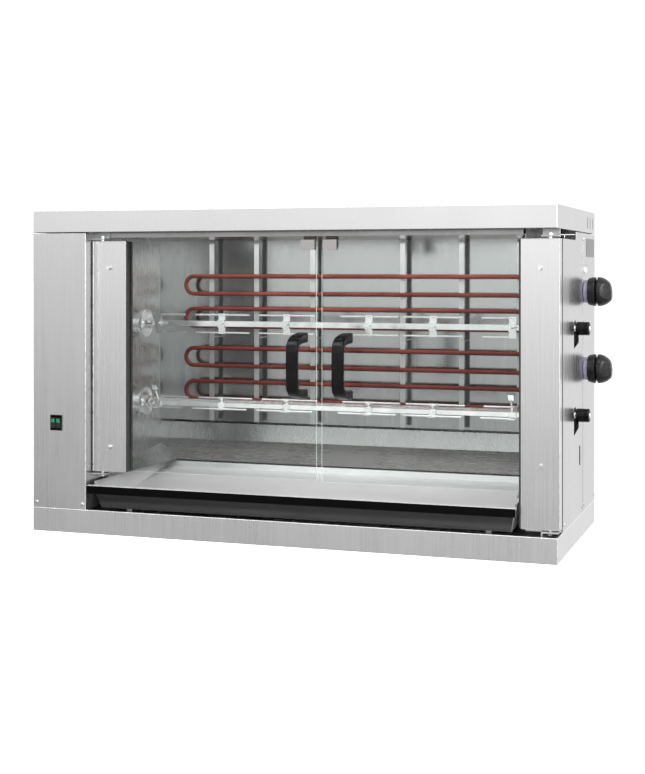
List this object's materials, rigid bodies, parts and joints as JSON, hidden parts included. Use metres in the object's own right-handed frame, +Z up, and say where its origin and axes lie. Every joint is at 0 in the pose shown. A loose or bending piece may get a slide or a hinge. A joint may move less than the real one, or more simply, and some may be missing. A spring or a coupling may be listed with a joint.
{
  "type": "rotisserie oven",
  "caption": "Countertop electric rotisserie oven: steel cabinet, paired glass doors, motor-turned spits with meat forks, hairpin heaters, sliding fat tray.",
  "frame": {"origin": "centre of the flat underside of the base", "axes": "+X to the user's right, where the knobs and spit grips are; +Y to the back; +Z up"},
  "size_m": [1.2106, 0.5465, 0.698],
  "materials": {
    "casing_steel": "vertical brushed grain",
    "cavity_steel": "bright rolled, near mirror",
    "door_steel": "vertical brushed grain",
    "tray_steel": "bright rolled",
    "door_glass": "toughened, polished edges",
    "black_plastic": "moulded, satin",
    "knob_plastic": "moulded, semi-gloss",
    "gasket_rubber": "matt",
    "chrome": "polished",
    "heater_sheath": "oxidised dark red",
    "motor_grey": "satin",
    "ceramic": "matt",
    "switch_black": "gloss",
    "lamp_lens": "translucent",
    "magnet": "matt",
    "plate_grey": "satin, blank",
    "screw_steel": "bright"
  },
  "bodies": {
    "cabinet": {"base_frame": "casing_steel", "base_plate": "cavity_steel", "top_cover": "casing_steel", "left_cabinet_shell": "casing_steel", "left_inner_wall": "cavity_steel", "right_side_panel": "casing_steel", "right_control_cover": "casing_steel", "right_inner_wall": "cavity_steel", "rear_panel": "casing_steel", "rear_reflector": "cavity_steel", "cavity_ceiling": "cavity_steel", "corner_strip": "cavity_steel", "rear_deflector": "cavity_steel", "side_deflectors": "cavity_steel", "tray_runners": "cavity_steel", "upper_heating_elements": "heater_sheath", "lower_heating_elements": "heater_sheath", "element_terminals": "ceramic", "element_straps": "cavity_steel", "drive_bearings": "chrome", "spit_bushes": "chrome", "gear_motors": "motor_grey", "hinge_brackets": "casing_steel", "magnet_catches": "magnet", "rotary_switches": "switch_black", "pilot_lamp": "lamp_lens", "rocker_bezel": "switch_black", "rating_plate": "plate_grey", "cable_gland": "black_plastic", "casing_screws": "screw_steel"},
    "left_door": {"left_door_stile": "door_steel", "left_door_glass": "door_glass", "left_door_gasket": "gasket_rubber", "left_hinge_pins": "screw_steel", "left_door_studs": "screw_steel", "left_door_handle": "black_plastic", "left_door_catch": "chrome"},
    "right_door": {"right_door_stile": "door_steel", "right_door_glass": "door_glass", "right_door_gasket": "gasket_rubber", "right_hinge_pins": "screw_steel", "right_door_studs": "screw_steel", "right_door_handle": "black_plastic", "right_door_catch": "chrome"},
    "tray": {"drip_tray": "tray_steel"},
    "upper_drive": {"upper_drive_coupling": "chrome"},
    "lower_drive": {"lower_drive_coupling": "chrome"},
    "upper_spit": {"upper_spit_bar": "chrome", "upper_meat_forks": "chrome", "upper_fork_screws": "chrome", "upper_spit_grip": "black_plastic"},
    "lower_spit": {"lower_spit_bar": "chrome", "lower_meat_forks": "chrome", "lower_fork_screws": "chrome", "lower_spit_grip": "black_plastic"},
    "upper_knob": {"upper_knob": "knob_plastic"},
    "lower_knob": {"lower_knob": "knob_plastic"},
    "left_rocker": {"left_rocker": "switch_black"},
    "right_rocker": {"right_rocker": "switch_black"}
  },
  "joints": [
    {"name": "left_door_hinge", "type": "hinge", "parent": "cabinet", "child": "left_door", "pos_m": [-0.424, -0.214, 0.38], "axis": [0, 0, -1], "range_deg": [0, 100]},
    {"name": "right_door_hinge", "type": "hinge", "parent": "cabinet", "child": "right_door", "pos_m": [0.555, -0.214, 0.35], "axis": [0, 0, 1], "range_deg": [0, 100]},
    {"name": "tray_slide", "type": "slide", "parent": "cabinet", "child": "tray", "axis": [0, -1, 0], "range_m": [0, 0.3]},
    {"name": "upper_drive_turn", "type": "hinge", "parent": "cabinet", "child": "upper_drive", "pos_m": [-0.42, -0.03, 0.448], "axis": [1, 0, 0], "continuous": true},
    {"name": "upper_spit_pull", "type": "slide", "parent": "upper_drive", "child": "upper_spit", "axis": [1, 0, 0], "range_m": [0, 0.03]},
    {"name": "upper_knob_turn", "type": "hinge", "parent": "cabinet", "child": "upper_knob", "pos_m": [0.58, 0.094, 0.523], "axis": [-1, 0, 0], "range_deg": [0, 270]},
    {"name": "lower_drive_turn", "type": "hinge", "parent": "cabinet", "child": "lower_drive", "pos_m": [-0.42, -0.03, 0.268], "axis": [1, 0, 0], "continuous": true},
    {"name": "lower_spit_pull", "type": "slide", "parent": "lower_drive", "child": "lower_spit", "axis": [1, 0, 0], "range_m": [0, 0.03]},
    {"name": "lower_knob_turn", "type": "hinge", "parent": "cabinet", "child": "lower_knob", "pos_m": [0.58, 0.094, 0.357], "axis": [-1, 0, 0], "range_deg": [0, 270]},
    {"name": "left_rocker_tilt", "type": "hinge", "parent": "cabinet", "child": "left_rocker", "pos_m": [-0.5242, -0.242, 0.237], "axis": [-1, 0, 0], "range_deg": [0, 13]},
    {"name": "right_rocker_tilt", "type": "hinge", "parent": "cabinet", "child": "right_rocker", "pos_m": [-0.5118, -0.242, 0.237], "axis": [-1, 0, 0], "range_deg": [0, 13]}
  ]
}
